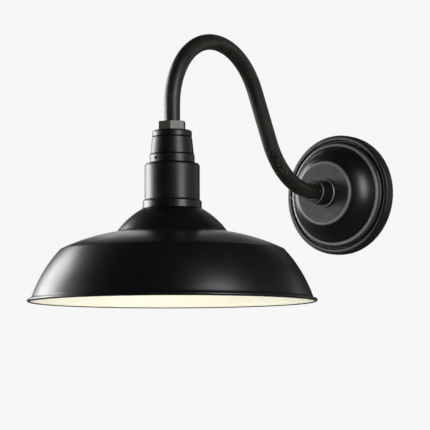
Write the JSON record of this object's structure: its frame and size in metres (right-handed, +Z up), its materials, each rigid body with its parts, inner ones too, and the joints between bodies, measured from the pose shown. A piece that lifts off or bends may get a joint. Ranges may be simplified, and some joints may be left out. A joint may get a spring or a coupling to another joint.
{
  "type": "gooseneck wall sconce",
  "caption": "Gooseneck wall sconce: a wide domed metal shade on a stepped socket housing hangs from a bent pipe arm on a round stepped wall canopy, with a screw-in lamp.",
  "frame": {"origin": "on the wall plane, on the axis of the canopy and the hub, midway between the crossbar's two box screws", "axes": "+Z up, -Y out from the wall along the hub's axis, the arm lies in the plane X = 0 and the shade's axis is vertical at Y = -0.330 m"},
  "size_m": [0.3048, 0.4824, 0.2931],
  "materials": {
    "black_coat": "satin",
    "arm_coat": "satin",
    "aged_nut": "satin",
    "zinc": "satin",
    "green_coat": "satin",
    "brass": "satin",
    "foam_rubber": "matte",
    "nylon": "matte",
    "porcelain": "gloss",
    "wire_black": "satin",
    "wire_white": "satin",
    "wire_green": "satin",
    "connector": "satin",
    "lamp_cap": "satin",
    "lamp_insulator": "gloss",
    "solder": "satin",
    "lamp_glass": "frosted",
    "stem_glass": "clear",
    "filament": "matte"
  },
  "bodies": {
    "fixture": {"wall_gasket": "foam_rubber", "wall_canopy": "black_coat", "canopy_screw": "black_coat", "crossbar": "zinc", "crossbar_ground_screw": "green_coat", "arm_hub": "black_coat", "hub_locknut": "black_coat", "hub_lock_washer": "zinc", "hub_inner_nut": "zinc", "gooseneck_arm": "arm_coat", "arm_bushings": "nylon", "neck_locknut": "aged_nut", "neck_cap": "black_coat", "neck_inner_nut": "zinc", "ground_terminal": "brass", "neck_body": "black_coat", "lock_ring": "black_coat", "set_screws": "zinc", "socket_cup": "black_coat", "shade_gasket": "foam_rubber", "shade": "black_coat", "shade_retaining_ring": "zinc", "lampholder_body": "porcelain", "lampholder_screws": "zinc", "screw_shell": "brass", "centre_contact": "brass", "terminal_screws": "brass", "line_lead": "wire_black", "neutral_lead": "wire_white", "ground_lead": "wire_green", "wire_connectors": "connector"},
    "bulb_foot": {"bulb_contact": "solder"},
    "bulb": {"bulb_base": "lamp_cap", "bulb_insulator": "lamp_insulator", "bulb_glass": "lamp_glass", "bulb_stem": "stem_glass", "bulb_filament": "filament"}
  },
  "joints": [
    {"name": "bulb_out", "type": "slide", "parent": "fixture", "child": "bulb_foot", "axis": [0, 0, -1], "range_m": [0, 0.0256]},
    {"name": "bulb_turn", "type": "hinge", "parent": "bulb_foot", "child": "bulb", "pos_m": [0, -0.33, 0], "axis": [0, 0, -1], "range_deg": [0, 2520]}
  ],
  "couplings": [
    {"joint": "bulb_out", "follows": "bulb_turn", "m_per_rad": 0.00057757}
  ]
}
